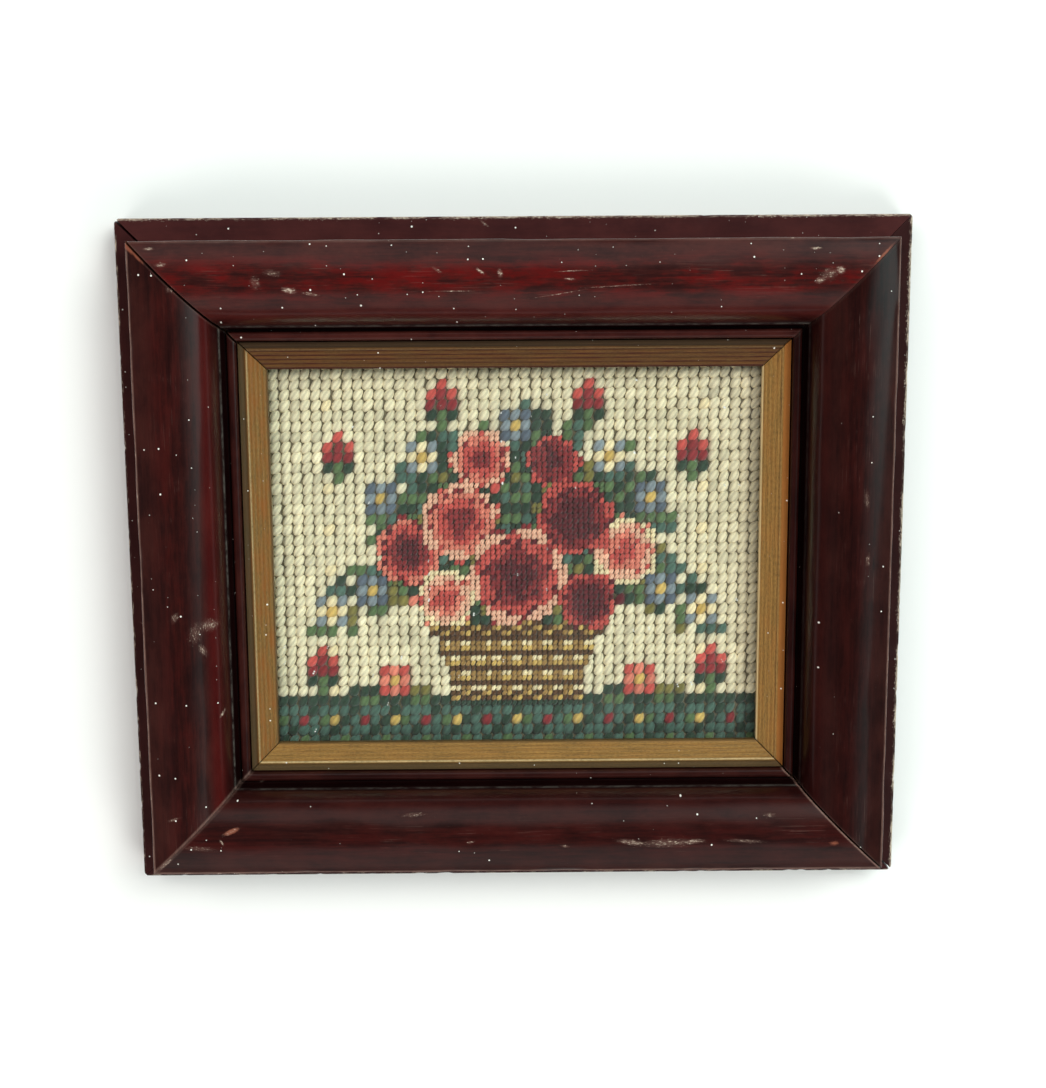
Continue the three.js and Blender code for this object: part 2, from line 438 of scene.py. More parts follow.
# Marks on the rails. Each row says where one is (mm across and up from the picture's middle), how long
# and wide it is to each side of its own middle, how far it is turned and how strong it is. A worn mark
# is pale, and a bare one shows the wood's own brown.
marks = {
    "worn": [
        (-83.4, 74.1, 1.7, 0.5, 0, 0.9),
        (-80.6, 70.5, 2.0, 0.8, 5, 0.62),
        (-78.5, 64.9, 1.6, 1.2, 0, 0.5),
        (-59.1, 66.3, 1.8, 2.4, 10, 0.5),
        (-55.1, 68.5, 3.0, 1.2, -8, 0.52),
        (-51.4, 64.6, 2.2, 0.9, -8, 1.0),
        (-46.5, 63.7, 2.6, 0.6, -10, 0.7),
        (-17.6, 69.0, 1.8, 0.5, -30, 0.6),
        (-7.8, 68.7, 1.5, 0.5, -35, 0.85),
        (-3.2, 68.2, 0.9, 1.5, 10, 0.7),
        (13.2, 68.6, 5.5, 0.22, 2, 0.72),
        (12.7, 66.8, 1.8, 0.35, -4, 0.8),
        (-14.0, 64.2, 7.5, 0.2, 0, 0.68),
        (10.0, 63.4, 9.0, 0.2, 9, 0.62),
        (24.0, 65.2, 11.0, 0.22, 3, 0.62),
        (-7.0, 79.9, 1.8, 0.4, -35, 0.75),
        (69.0, 73.4, 1.9, 0.4, 0, 1.0),
        (69.8, 66.2, 1.6, 1.0, 10, 0.8),
        (71.9, 67.6, 3.2, 2.0, 20, 0.55),
        (74.5, 68.4, 1.4, 1.2, 0, 0.85),
        (-76.0, -15.4, 2.2, 4.0, -15, 0.5),
        (-73.0, -13.8, 2.8, 2.2, 0, 0.6),
        (-74.6, -19.6, 1.1, 2.2, 25, 0.62),
        (-80.6, -11.5, 1.2, 2.0, -30, 0.58),
        (-71.0, -36.0, 0.5, 1.6, -30, 0.75),
        (-83.0, -61.3, 2.4, 0.5, 20, 0.62),
        (-91.5, -16.5, 1.8, 0.3, -30, 0.8),
        (-69.2, -64.4, 3.4, 0.7, 24, 0.55),
        (-71.6, -67.0, 0.4, 1.2, 30, 0.75),
        (-77.0, -68.6, 5.5, 1.0, -4, 0.52),
        (-63.0, -55.0, 1.2, 0.5, 40, 0.6),
        (-25.4, -61.0, 4.2, 0.7, 3, 0.55),
        (-11.6, -67.4, 1.4, 0.5, 10, 0.6),
        (11.3, -68.6, 1.6, 0.5, -10, 0.6),
        (27.5, -67.8, 5.0, 1.0, -8, 0.75),
        (36.0, -68.0, 10.0, 1.5, 2, 0.6),
        (42.2, -67.7, 4.0, 0.9, 5, 0.75),
        (55.0, -67.6, 6.5, 0.7, -3, 0.6),
        (61.0, -61.6, 2.0, 0.8, 0, 0.6),
        (82.0, 15.4, 1.0, 3.4, 5, 0.5),
        (82.7, 1.2, 0.9, 2.2, -8, 0.52),
        (-85.6, -72.8, 3.4, 0.6, 42, 0.75),
    ],
    "bare": [
        (-69.2, -64.4, 2.6, 0.8, 22, 0.9),
        (76.5, -68.4, 1.8, 0.9, 0, 0.6),
        (-88.0, 74.4, 2.6, 0.9, -48, 1.0),
        (-86.0, 72.6, 3.4, 0.8, -48, 0.75),
        (84.5, 72.0, 4.5, 0.5, 45, 0.7),
    ],
}

wood = {
    "stain": screen(62, 25, 22),
    # dark: the stain's dark streaks and pores, and the painted shade down into the quirk
    "dark": screen(37, 13, 13),
    "brown": screen(66, 28, 23),
    "red": screen(88, 12, 12),
    # painted shade for the quirk's groove
    "quirkShade": screen(18, 4, 5),
    "ledge": screen(70, 34, 35),
    "bare": screen(140, 80, 60),
    "chip": screen(196, 178, 160),
    # painted highlight on the step above the quirk
    "stepHighlight": screen(112, 108, 100),
    "raw": screen(156, 118, 80),
    "rawDark": screen(116, 84, 54),
    # edge: rubbed wear, and the painted highlight along the lip
    "edge": screen(134, 104, 94),
    "grain": 0.03 * mm,
    "specular": 0.14,
    "coat": 0.34,
    "coatRoughness": 0.12,
}
# for each rail: how much red shows on the crest and on the steep inner side and how light the stain
# is, which differ by rail as painted light and shade for how the light falls on each; how bright the
# painted highlight along its lip is (partly rubbed wear) and how much its ledge's edge is chipped, how
# rubbed its two mitred ends are, how bright the painted highlight on the step above the quirk is, and
# the share of cells that hold a speck of dust
railTone = {
    "bottom": {
        "red": 0.2, "inner": 0.2, "light": 0.7, "lip": 0.8, "chips": 0.7, "ends": (0.2, 1.0),
        "stepHighlight": 0.25, "specks": 0.1,
    },
    "right": {
        "red": 0.1, "inner": 0.3, "light": 0.53, "lip": 0.7, "chips": 1.1, "ends": (0.1, 0.05),
        "stepHighlight": 0.05, "specks": 0.06,
    },
    "top": {
        "red": 0.9, "inner": 0.35, "light": 1.08, "lip": 0.3, "chips": 1.0, "ends": (0.05, 0.1),
        "stepHighlight": 0.3, "specks": 0.3,
    },
    "left": {
        "red": 0.2, "inner": 0.85, "light": 0.74, "lip": 0.95, "chips": 0.7, "ends": (0.15, 0.5),
        "stepHighlight": 0.4, "specks": 0.24,
    },
}


# The marks near one rail: each is an oval, 1 in its middle and 0 at its rim. A mapping node puts the
# oval's own middle, turn and size to rights, so that its rim lies 1 from the middle.
def markMask(wire, side, kind):
    place = wire.place().scaled(1 / mm, 1 / mm, 0)
    mask = place.part(2)
    across, upright = side % 2, 1 - side % 2
    sign = (-1, 1, 1, -1)[side]
    pastMitre = 3  # mm that a mark may lie over the mitre
    for x, y, long, wide, turn, strength in marks[kind]:
        depth = lipHalf - np.abs((x, y))
        if depth[upright] < depth[across] + pastMitre and sign * (x, y)[upright] > 0:
            oval = wire.add("ShaderNodeMapping", {"vector_type": "TEXTURE"}, {
                "Vector": place,
                "Location": (x, y, 0),
                "Rotation": (0, 0, math.radians(turn)),
                "Scale": (long, wide, 1),
            })
            mask = mask.math("MAXIMUM", oval.length().step(1.25, 0.1) * strength)
    return mask


def woodMaterial(side):
    name = sideNames[side]
    material, wire = newMaterial("stained wood " + name)
    tone = railTone[name]
    seed = 37.0 * side + 11
    moulding = wire.attribute("moulding")
    along, inward, height = moulding.part(0), moulding.part(1), moulding.part(2)
    shifted = moulding.moved(seed, seed, 0)

    streaks = shifted.scaled(0.05, 0.8, 0.8).noise(detail=4, roughness=0.68)
    pores = shifted.scaled(0.3, 6.0, 6.0).noise(detail=1.5, roughness=0.6)
    patches = shifted.scaled(0.07, 0.2, 0.1).noise(detail=5, roughness=0.66)
    smudges = shifted.scaled(0.07, 0.1, 0.1).noise(detail=4, roughness=0.7)
    blotches = shifted.scaled(0.45, 0.8, 0.8).noise(detail=4, roughness=0.74)
    scratchy = shifted.scaled(1.3, 3.4, 3.4).noise(detail=3, roughness=0.8)
    crest = inward.band(4.8, 13.0, 3.2) * height.step(18, 20)

    # the stain: soft dark and light streaks, wine red in patches on the crest, brown beside it; then
    # painted shade in the quirk
    stain = (streaks * 0.5 + patches * 0.3 + pores * 0.2).step(0.36, 0.64)
    # red patches of stain on the crest, with more red on the rails where more light falls: partly
    # painted light
    glow = (patches * 0.7 + streaks * 0.3).step(0.42, 0.62) * crest * tone["red"]
    onLedge = inward.step(0.2, -0.2) * height.step(15, 10)
    quirkShade = inward.band(19.35, 21.0, 0.25)
    colour = stain.mix(wood["dark"], wood["stain"]).layers(
        ((1 - crest) * smudges.step(0.35, 0.65) * 0.6, wood["brown"]),
        (glow, wood["red"]),
        # red on the steep inner side, in amounts per rail that stand for how the light falls there:
        # painted light
        (inward.band(15.4, 18.4, 1.2) * tone["inner"] * 0.7, wood["red"]),
        (blotches.step(0.52, 0.72) * 0.28, wood["brown"]),
        (pores.step(0.58, 0.75) * 0.3, wood["dark"]),
        (onLedge * 0.55, wood["ledge"]),
        # painted shade: the quirk is painted near black
        (quirkShade * 0.88, wood["quirkShade"]),
        # painted shade: darker down the steep side into the quirk
        (inward.band(17.8, 19.2, 0.7) * 0.45, wood["dark"]),
    )
    # each rail lighter or darker as a whole: painted light and shade for how the light falls on it
    colour = colour.level((smudges.step(0.25, 0.75) * 0.35 + 0.82) * tone["light"])

    # a painted highlight along the lip (partly rubbed wear), pale chips where the stain is rubbed off
    # the sharp edges, and a painted highlight on the step above the quirk
    rubbed = shifted.scaled(0.35, 2.0, 2.0).noise(detail=3, roughness=0.75)
    lipHighlightAndWear = inward.band(-0.15, 0.5, 0.2) * height.step(lipHeight - 1.4, lipHeight - 0.5)
    lipChips = inward.band(-0.1, 0.25, 0.12) * height.step(lipHeight - 1.2, lipHeight - 0.5)
    atLedgeTop = height.band(8.2, 9.3, 0.3)
    ledgeEdge = inward.step(-4.9, -5.4) * atLedgeTop
    frayed = (scratchy * (3.6 * tone["chips"]) - inward).step(7.0, 7.4) * smudges.step(0.42, 0.52)
    fromMitre = (lipHalf[side % 2] - inward - along.math("ABSOLUTE")) * math.sqrt(0.5)
    endTone = along.step(-1, 1) * (tone["ends"][1] - tone["ends"][0]) + tone["ends"][0]
    worn = fromMitre.step(0.75, 0.25) * (rubbed.step(0.3, 0.6) * 0.5 + 0.5) * endTone
    colour = colour.layers(
        # painted highlight along the lip, partly rubbed wear
        (lipHighlightAndWear * (rubbed.step(0.3, 0.65) * 0.5 + 0.35) * tone["lip"], wood["edge"]),
        (lipChips * rubbed.step(0.64, 0.7), wood["chip"]),
        (ledgeEdge * rubbed.step(0.62 - 0.16 * tone["chips"], 0.7), wood["chip"]),
        (frayed * atLedgeTop * 0.8, wood["chip"]),
        # painted highlight on the step above the quirk, broken up by blotches
        (inward.band(19.5, 19.85, 0.15) * blotches.step(0.35, 0.65) * tone["stepHighlight"], wood["stepHighlight"]),
        (worn * height.step(13, 14), wood["edge"]),
    )

    # marks, broken up by fine noise
    wear, bare = markMask(wire, side, "worn"), markMask(wire, side, "bare")
    fineLines = shifted.scaled(0.06, 7.0, 7.0).noise(detail=1)
    specks = dustMask(wire, tone["specks"])
    rawWood = inward.step(18.2, 18.5) * height.step(12.4, 12.2)
    rawWood = rawWood.math("MAXIMUM", height.step(0.25, 0.1))
    fibre = shifted.scaled(0.08, 2.0, 2.0).noise(detail=3)
    colour = colour.layers(
        ((bare + scratchy * 0.8 - 0.4).step(0.2, 0.8) * 0.85, wood["bare"]),
        ((wear + scratchy - 0.5).step(0.15, 0.85) * 0.42, wood["edge"]),
        ((wear * 0.8 + scratchy * 2.4 - 1.3).step(0.42, 0.78) * 0.85, wood["chip"]),
        (fineLines.step(0.66, 0.72) * smudges.step(0.5, 0.62) * crest * 0.25, wood["edge"]),
        (specks, dust["colour"]),
        (rawWood, fibre.mix(wood["rawDark"], wood["raw"])),
    )

    dull = onLedge * 0.22 + rawWood * 0.5 + specks * 0.5 + smudges.step(0.45, 0.75) * 0.1 + 0.3
    relief = streaks * 0.3 + pores * 0.6 + wear * scratchy * -1.2
    finish = {
        "Base Color": colour,
        "Roughness": dull + wear * 0.3,
        "Specular IOR Level": wood["specular"],
        "Coat Weight": (1 - rawWood) * (1 - onLedge * 0.6) * (1 - quirkShade) * (1 - wear) * wood["coat"],
        "Coat Roughness": wood["coatRoughness"],
        "Normal": relief.bump(wood["grain"], 0.6),
    }
    principled(wire, finish)
    return material


def makeRails():
    section = railSection()
    for side, name in enumerate(sideNames):
        gaps = [rail["gaps"][cornerNames[(side + end) % 4]] for end in (0, 1)]
        stations = stationsAlong(rail["stations"])
        points, moulding = barPoints(side, section, stations, gaps, railEase(side))
        attributes = {"moulding": moulding}
        faces = tubeFaces(rail["stations"], len(section))
        piece = newPiece(
            "woodRail_" + name, points, faces, woodMaterial(side), 40, attributes
        )
        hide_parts("rail_" + name)


makeRails()
print("rails made")


# Gilt slips
slip = {
    "flangeStart": 18.9,
    "flangeTop": 11.9,
    "under": 10.3,
    "woodEdge": 23.45,
    "sight": 29.9,
    "sightRise": -10.5,
    "reedFrom": 25.6,
    "reedTo": 29.6,
    "reeds": 4,
    "reedRise": (-9.3, -10.3),
    "reedDepth": 0.2,
    "cornerSteps": 4,
    "stations": 161,
    "gaps": {"bottomLeft": 0.2, "bottomRight": 0.26, "topRight": 0.2, "topLeft": 0.28},
}


# Section of a slip: a flange behind the wood, a cove, an arris, and reeds as a zigzag whose corners
# are softened into waves
def slipSection():
    phase = np.arange(2 * slip["reeds"] + 1)
    share = phase / phase.max()
    inward = slip["reedFrom"] + share * (slip["reedTo"] - slip["reedFrom"])
    rise = slip["reedRise"][0] + share * (slip["reedRise"][1] - slip["reedRise"][0])
    rise = rise - np.where(phase % 2 == 0, slip["reedDepth"], 0)
    reeds = [(*place, 0.22) for place in zip(inward, rise)]
    face = [(slip["woodEdge"], -8.6, 0.15), (24.0, -9.3, 9), (24.6, -9.5, 9), (25.3, -9.05, 0.1)]
    face = face + reeds + [(slip["sight"], slip["sightRise"], 0.12)]
    rows = [
        (slip["flangeStart"], slip["under"], 0.1),
        (slip["flangeStart"], slip["flangeTop"], 0.1),
        (slip["woodEdge"], slip["flangeTop"], 0.1),
        *[(inward, lipHeight + rise, cut) for inward, rise, cut in face],
        (slip["sight"], slip["under"], 0.1),
    ]
    rows = np.array(rows)[::-1]
    return softCorners(rows[:, :2], rows[:, 2], slip["cornerSteps"])


gilt = {
    "gold": screen(182, 136, 72),
    "olive": screen(97, 71, 38),
    # brown: real flecks, and the painted shade on the top slip and between the reeds
    "brown": screen(74, 30, 22),
    # cove: painted shade in the cove beside the wood
    "cove": screen(64, 50, 34),
    "orange": screen(158, 96, 42),
    # arris: a painted highlight along the slip's arris
    "arris": screen(224, 196, 146),
}
# for each slip: how light it is and how browned, which differ by side as painted light and shade (the
# top slip darker and browner), how orange, how dark the painted shade between its reeds is, how bright
# the painted highlight on its arris is, and the colours along the sight edge (the right one takes the
# pale highlight colour) and in the cove beside the wood (painted shade, orange on the right slip)
slipTone = {
    "bottom": {
        "light": 0.93, "orange": 0.15, "brown": 0.0, "reedShade": 0.08, "arris": 0.9,
        "sight": "olive", "cove": "cove",
    },
    "right": {
        "light": 0.94, "orange": 0.3, "brown": 0.0, "reedShade": 0.12, "arris": 0.1,
        "sight": "arris", "cove": "orange",
    },
    "top": {
        "light": 0.68, "orange": 0.5, "brown": 0.58, "reedShade": 1.0, "arris": 0.15,
        "sight": "brown", "cove": "cove",
    },
    "left": {
        "light": 0.75, "orange": 0.85, "brown": 0.05, "reedShade": 0.06, "arris": 0.7,
        "sight": "olive", "cove": "cove",
    },
}


def giltMaterial(name):
    material, wire = newMaterial("gilt " + name)
    tone = slipTone[name]
    seed = 23.0 * sideNames.index(name)
    moulding = wire.attribute("moulding")
    inward = moulding.part(1)
    shifted = moulding.moved(seed, seed, 0)
    lines = shifted.scaled(0.09, 7.0, 0).noise(detail=3, roughness=0.7)
    cloud = shifted.scaled(0.12, 0.5, 0).noise(detail=4, roughness=0.65)
    flecks = shifted.scaled(1.1, 4.0, 0).noise(detail=3, roughness=0.7)
    reedPitch = (slip["reedTo"] - slip["reedFrom"]) / slip["reeds"]
    phase = (inward - slip["reedFrom"]) * (2 * math.pi / reedPitch)
    # painted shade between the reeds, broken up by a cloud
    reedShade = phase.math("COSINE").step(0.1, 0.95) * (2.4 * cloud - 0.5)
    cove = inward.step(25.1, 24.7)
    arris = inward.band(25.12, 25.5, 0.1)
    specks = dustMask(wire, dust["share"])
    gold = (lines * 0.55 + flecks * 0.45).step(0.29, 0.68).mix(gilt["olive"], gilt["gold"])
    colour = gold.layers(
        (cloud.step(0.35, 0.7) * tone["orange"], gilt["orange"]),
        # browner on the top slip: painted shade
        ((1 - lines.step(0.5, 0.75) * 0.5) * tone["brown"], gilt["brown"]),
        # painted shade between the reeds
        (reedShade * tone["reedShade"], gilt["brown"]),
        # painted shade in the cove, orange on the right slip
        (cove * 0.8, gilt[tone["cove"]]),
        # painted highlight along the arris
        (arris * (flecks.step(0.3, 0.6) * 0.6 + 0.4) * tone["arris"], gilt["arris"]),
        (inward.step(29.45, 29.7) * 0.75, gilt[tone["sight"]]),
    )
    # each slip lighter or darker as a whole: painted light and shade for how the light falls on it
    colour = colour.level((cloud * 0.5 + 0.72) * tone["light"])
    colour = colour.layers((flecks.step(0.68, 0.76) * 0.5, gilt["brown"]), (specks, dust["colour"]))
    finish = {
        "Base Color": colour,
        "Metallic": (1 - specks) * 0.2,
        "Roughness": cove * 0.15 + lines * 0.2 + 0.36,
        "Normal": (lines + flecks * 0.3).bump(0.05 * mm, 0.7),
    }
    principled(wire, finish)
    return material


def makeSlips():
    section = slipSection()
    for side, name in enumerate(sideNames):
        gaps = [slip["gaps"][cornerNames[(side + end) % 4]] for end in (0, 1)]
        stations = stationsAlong(slip["stations"])
        points, moulding = barPoints(side, section, stations, gaps)
        faces = tubeFaces(slip["stations"], len(section))
        attributes = {"moulding": moulding}
        piece = newPiece("giltSlip_" + name, points, faces, giltMaterial(name), 40, attributes)
        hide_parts("slip_" + name)


makeSlips()
print("slips made")


# Glass: clear, with mirror gloss that grows towards grazing sight, a breath of haze and dust
glass = {
    "haze": 0.01,
    "straightOn": 0.04,  # how much it mirrors straight on
    "roughness": 0.03,
    "dustShare": 0.12,
    "tint": (0.985, 0.99, 0.98, 1),
    "film": (0.8, 0.8, 0.78, 1),
}


def glassMaterial():
    material, wire = newMaterial("picture glass")
    facing = wire.add("ShaderNodeLayerWeight", None, {"Blend": 0.5}, 1)
    clear = wire.add("ShaderNodeBsdfTransparent", None, {"Color": glass["tint"]})
    polish = {"Color": (1, 1, 1, 1), "Roughness": glass["roughness"]}
    mirror = wire.add("ShaderNodeBsdfGlossy", None, polish)
    gloss = facing**5 * (1 - glass["straightOn"]) + glass["straightOn"]
    shader = wire.add("ShaderNodeMixShader", None, {0: gloss, 1: clear, 2: mirror})
    place = wire.place()
    smear = place.scaled(60, 25, 60).noise(detail=5, roughness=0.7).step(0.45, 0.8)
    specks = dustMask(wire, glass["dustShare"])
    film = (smear * glass["haze"] + specks * 0.8).math("MINIMUM", 0.9)
    white = wire.add("ShaderNodeBsdfDiffuse", None, {"Color": glass["film"]})
    output(wire.add("ShaderNodeMixShader", None, {0: film, 1: shader, 2: white}))
    return material


def dressNode(node, material):
    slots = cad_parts[node].data.materials
    slots.clear()
    slots.append(material)


dressNode("glass", glassMaterial())
print("glass dressed")


# Needlepoint
threads = {
    "sage": screen(224, 213, 184),
    "cream": screen(236, 218, 178),
    "gold": screen(206, 172, 100),
    "tan": screen(160, 126, 76),
    "brown": screen(92, 64, 44),
    "olive": screen(124, 116, 66),
    "leaf": screen(90, 112, 76),
    "deepGreen": screen(50, 68, 56),
    "blueGreen": screen(78, 104, 94),
    "slate": screen(132, 142, 150),
    "slateDark": screen(92, 102, 116),
    "burgundy": screen(96, 36, 44),
    "wine": screen(138, 50, 54),
    "coral": screen(196, 84, 78),
    "rose": screen(222, 130, 112),
    "peach": screen(236, 184, 158),
}
cloth = {
    "pitch": 2.54,  # ten threads to the inch
    "columns": 55,
    "rows": 44,
    "canvasThickness": 0.6,
    "canvasLift": 0.15,
    "weaveDepth": 0.12,
    # the canvas is coloured darker and greyer than its thread: painted shade in the gaps between the
    # stitches
    "canvasDark": screen(96, 90, 74),
    "canvasLight": screen(140, 132, 110),
    "stitchTop": 7.6,
}

# The pattern: a wicker basket of roses on a cloth, with drooping sprays. Places are in mm from the
# picture's middle, and a motif given for the right is mirrored to the left.
basket = {"top": -17.5, "bottom": -36.5, "halfTop": 21.0, "halfBottom": 15.0, "courses": 5}
foliage = {"middle": (0.0, 3.0), "half": (35.0, 25.0)}
roses = [
    {"at": (-8.4, 23.5), "radius": 7.2, "shades": ("peach", "rose", "coral", "wine")},
    {"at": (9.0, 23.0), "radius": 6.6, "shades": ("coral", "wine", "wine", "burgundy")},
    {"at": (-26.5, 1.0), "radius": 8.2, "shades": ("rose", "coral", "wine", "burgundy")},
    {"at": (26.8, 0.5), "radius": 8.4, "shades": ("cream", "peach", "rose", "coral")},
    {"at": (-13.8, 8.2), "radius": 9.6, "shades": ("peach", "rose", "coral", "wine")},
    {"at": (14.4, 8.8), "radius": 9.4, "shades": ("coral", "wine", "burgundy", "burgundy")},
    {"at": (0.2, -5.5), "radius": 12.2, "shades": ("peach", "coral", "wine", "burgundy")},
    {"at": (-17.6, -11.0), "radius": 7.4, "shades": ("cream", "peach", "rose", "coral")},
    {"at": (17.8, -11.6), "radius": 7.2, "shades": ("coral", "wine", "burgundy", "burgundy")},
]
# each ring of a rose's petals: how many, how far out and how large they are, as shares of its radius
petalRings = [(6, 0.62, 0.46), (5, 0.4, 0.42), (3, 0.17, 0.32)]
leafRing = {"count": 19, "length": 14.0, "width": 3.2, "from": -28, "to": 208}
sprays = {"start": (28.0, -6.0), "end": (49.0, -27.0), "rise": 7.0, "leaves": 7}
smallFlowers = [(33.0, 13.5), (22.5, 24.5), (35.5, -9.5), (45.5, -14.0), (0.0, 33.0)]
buds = [(48.3, -28.0), (43.2, 24.0), (17.8, 36.0)]
fallen = (31.0, -32.5)  # a flower on the table, with a leaf on each side


# The pattern's colours at stitches x, y (mm), and where it is worked in finer stitches. Later motifs
# cover earlier ones.
def patternColours(x, y):
    colours = np.tile(np.array(threads["sage"]), (len(x), 1))
    fine = np.zeros(len(x), bool)
    pitch = cloth["pitch"]
    column, row = np.floor(x / pitch + 0.5), np.floor(y / pitch)

    def paint(mask, thread):
        colours[mask] = threads[thread]

    # a leaf from (bx, by): its width is a sine of the share along it, and its two sides differ
    def leaf(bx, by, angle, length, width, light, dark):
        turn = math.radians(angle)
        along = ((x - bx) * math.cos(turn) + (y - by) * math.sin(turn)) / length
        across = (y - by) * math.cos(turn) - (x - bx) * math.sin(turn)
        half = width * np.sin(math.pi * np.clip(along, 0, 1)) ** 0.8
        inside = (np.abs(across) < half) & (along > 0) & (along < 1)
        paint(inside & (across >= 0), light)
        paint(inside & (across < 0), dark)

    # four petals and four darker corners about a gold eye, set on the canvas's own threads
    def flower(fx, fy, light, dark):
        cx, cy = round(fx / pitch), math.floor(fy / pitch)
        steps = np.abs(column - cx) + np.abs(row - cy)
        square = np.maximum(np.abs(column - cx), np.abs(row - cy)) < 2
        paint(square & (steps == 2), dark)
        paint(steps == 1, light)
        paint(steps == 0, "gold")

    # a bud on a short stem, five stitches high
    def bud(bx, by):
        dx, dy = column - round(bx / pitch), row - math.floor(by / pitch)
        paint((dx == 0) & (np.abs(dy + 1.5) < 1), "leaf")
        paint((np.abs(dx) == 1) & (dy == -1), "deepGreen")
        paint((np.abs(dx) < 2) & ((dy == 0) | (dy == 1)), "wine")
        paint((np.abs(dx) == 1) & (dy == 1), "coral")
        paint((dx == 0) & (dy == 2), "coral")

    # rings of round petals, each ring over the last: a petal is dark at its foot and light at its rim
    def rose(rx, ry, radius, shades, turn):
        r = np.hypot(x - rx, y - ry) / radius
        paint(r < 0.75, shades[3])
        for k, (count, out, size) in enumerate(petalRings):
            for j in range(count):
                angle = turn + 2 * math.pi * (j + 0.5 * k) / count
                dx = (x - rx) / radius - out * math.cos(angle)
                dy = (y - ry) / radius - out * math.sin(angle)
                away = np.hypot(dx, dy) / size
                outward = (dx * math.cos(angle) + dy * math.sin(angle)) / size
                paint(away < 1, shades[min(k + 2, 3)])
                paint((away < 0.94) & (outward > -0.3), shades[min(k + 1, 3)])
                paint((away < 0.94) & (outward > 0.35), shades[k])
        paint(r < 0.13, shades[3])

    # the ground: hand-dyed wool, whose lots show as paler runs along the rows
    lots = np.sin(0.9 * row + 1.3 * np.sin(0.7 * row)) + np.sin(0.23 * column + 2.1 * row)
    colours *= (1 + 0.025 * lots)[:, None]
    paint((np.mod(column + 3 * row, 12) == 0) & (np.mod(row, 4) == 2), "cream")

    # the table's cloth
    cover = y < basket["bottom"]
    paint(cover, "blueGreen")
    paint(cover & (np.mod(column + row, 4) == 0), "leaf")
    paint(cover & (np.mod(column - row, 4) == 0), "deepGreen")
    topRow = math.floor(basket["bottom"] / pitch)
    paint(cover & (row == topRow), "deepGreen")
    paint(cover & (row == topRow - 2) & (np.mod(column, 3) == 0), "wine")
    paint(cover & (row == topRow - 2) & (np.mod(column, 6) == 0), "gold")

    # leaves round a thick mass of leaves
    greens = [
        ("leaf", "deepGreen"), ("blueGreen", "deepGreen"), ("olive", "leaf"), ("leaf", "blueGreen"),
    ]
    (mx, my), (wide, tall) = foliage["middle"], foliage["half"]
    for k, angle in enumerate(np.linspace(leafRing["from"], leafRing["to"], leafRing["count"])):
        turn = math.radians(angle)
        bx, by = mx + 0.72 * wide * math.cos(turn), my + 0.78 * tall * math.sin(turn)
        length = leafRing["length"] * (1 + 0.16 * math.sin(2.3 * k))
        leaf(bx, by, angle + 15 * math.sin(1.9 * k), length, leafRing["width"], *greens[k % 4])
    mass = ((x - mx) / (0.9 * wide)) ** 2 + ((y - my) / (0.88 * tall)) ** 2 < 1
    mass &= y > basket["top"] - 2
    paint(mass, "deepGreen")
    paint(mass & (np.mod(column + 2 * row, 5) < 2), "leaf")
    paint(mass & (np.mod(2 * column - row, 7) == 0), "olive")
    paint(mass & (np.mod(column - 2 * row, 6) == 1), "blueGreen")

    for mirror in (-1, 1):
        (startX, startY), (endX, endY) = sprays["start"], sprays["end"]
        for j in range(sprays["leaves"]):
            share = (j + 0.5) / sprays["leaves"]
            px = startX + (endX - startX) * share
            py = startY + (endY - startY) * share + sprays["rise"] * math.sin(math.pi * share)
            swing = -15 - 55 * share + (50 if j % 2 else -50)
            angle = swing if mirror > 0 else 180 - swing
            leaf(mirror * px, py, angle, 10 - 2.5 * share, 2.7, *greens[(j + 2) % 4])
        for bx, by in buds:
            bud(mirror * bx, by)
        fx, fy = mirror * fallen[0], fallen[1]
        leaf(fx - 2, fy - 2.9, 180, 9, 2.6, "leaf", "deepGreen")
        leaf(fx + 2, fy - 2.9, 0, 9, 2.6, "olive", "leaf")
        flower(fx, fy, "rose", "coral")

    # the wicker: blocks of weave that shift by half in each course, in finer stitches
    share = (y - basket["bottom"]) / (basket["top"] - basket["bottom"])
    side = basket["halfBottom"] + (basket["halfTop"] - basket["halfBottom"]) * share
    woven = (np.abs(x) < side) & (share > 0) & (share < 1)
    course = share * basket["courses"]
    strand = np.mod(np.floor(x / (0.5 * pitch) / 2 + 0.25) + np.floor(course), 2)
    paint(woven, "tan")
    paint(woven & (strand == 0), "gold")
    paint(woven & (strand == 0) & (np.mod(course, 1) > 0.72), "cream")
    paint(woven & (np.mod(course, 1) < 0.26), "brown")
    rim = ((share > 0.86) | (share < 0.12)) & (share > -0.05) & (share < 1.05)
    rim &= np.abs(x) < side + 1.5
    paint(rim, "tan")
    paint(rim & (np.mod(x + 2 * y, 5.08) < 2.0), "brown")
    paint(rim & (np.mod(x + 2 * y, 5.08) > 3.8), "gold")
    fine |= woven | rim

    for k, bloom in enumerate(roses):
        rose(*bloom["at"], bloom["radius"], bloom["shades"], 0.9 * k)
        fine |= np.hypot(x - bloom["at"][0], y - bloom["at"][1]) < 1.04 * bloom["radius"]
    for mirror in (-1, 1):
        for j, (fx, fy) in enumerate(smallFlowers):
            pair = ("slate", "slateDark") if j % 2 == 0 else ("cream", "slate")
            flower(mirror * fx, fy, *pair)
    return colours, fine


# One stitch: a fat strand that arches over a crossing of the canvas from its lower left hole to its
# upper right one. Rings along it are flat ovals, widest at the middle, and both ends close to a point.
stitch = {
    "lean": 60,  # degrees from the row
    "halfLength": 1.86,
    "halfWidth": 1.19,
    "halfThickness": 0.8,
    "dip": 1.0,
    # how much one stitch differs from the next: shares of the sizes, then degrees and mm
    "lengthVaries": 0.035,
    "widthVaries": 0.06,
    "thicknessVaries": 0.07,
    "leanVaries": 3.5,
    "bend": 0.12,
    "jitter": 0.05,
    "colourVaries": 0.07,
}


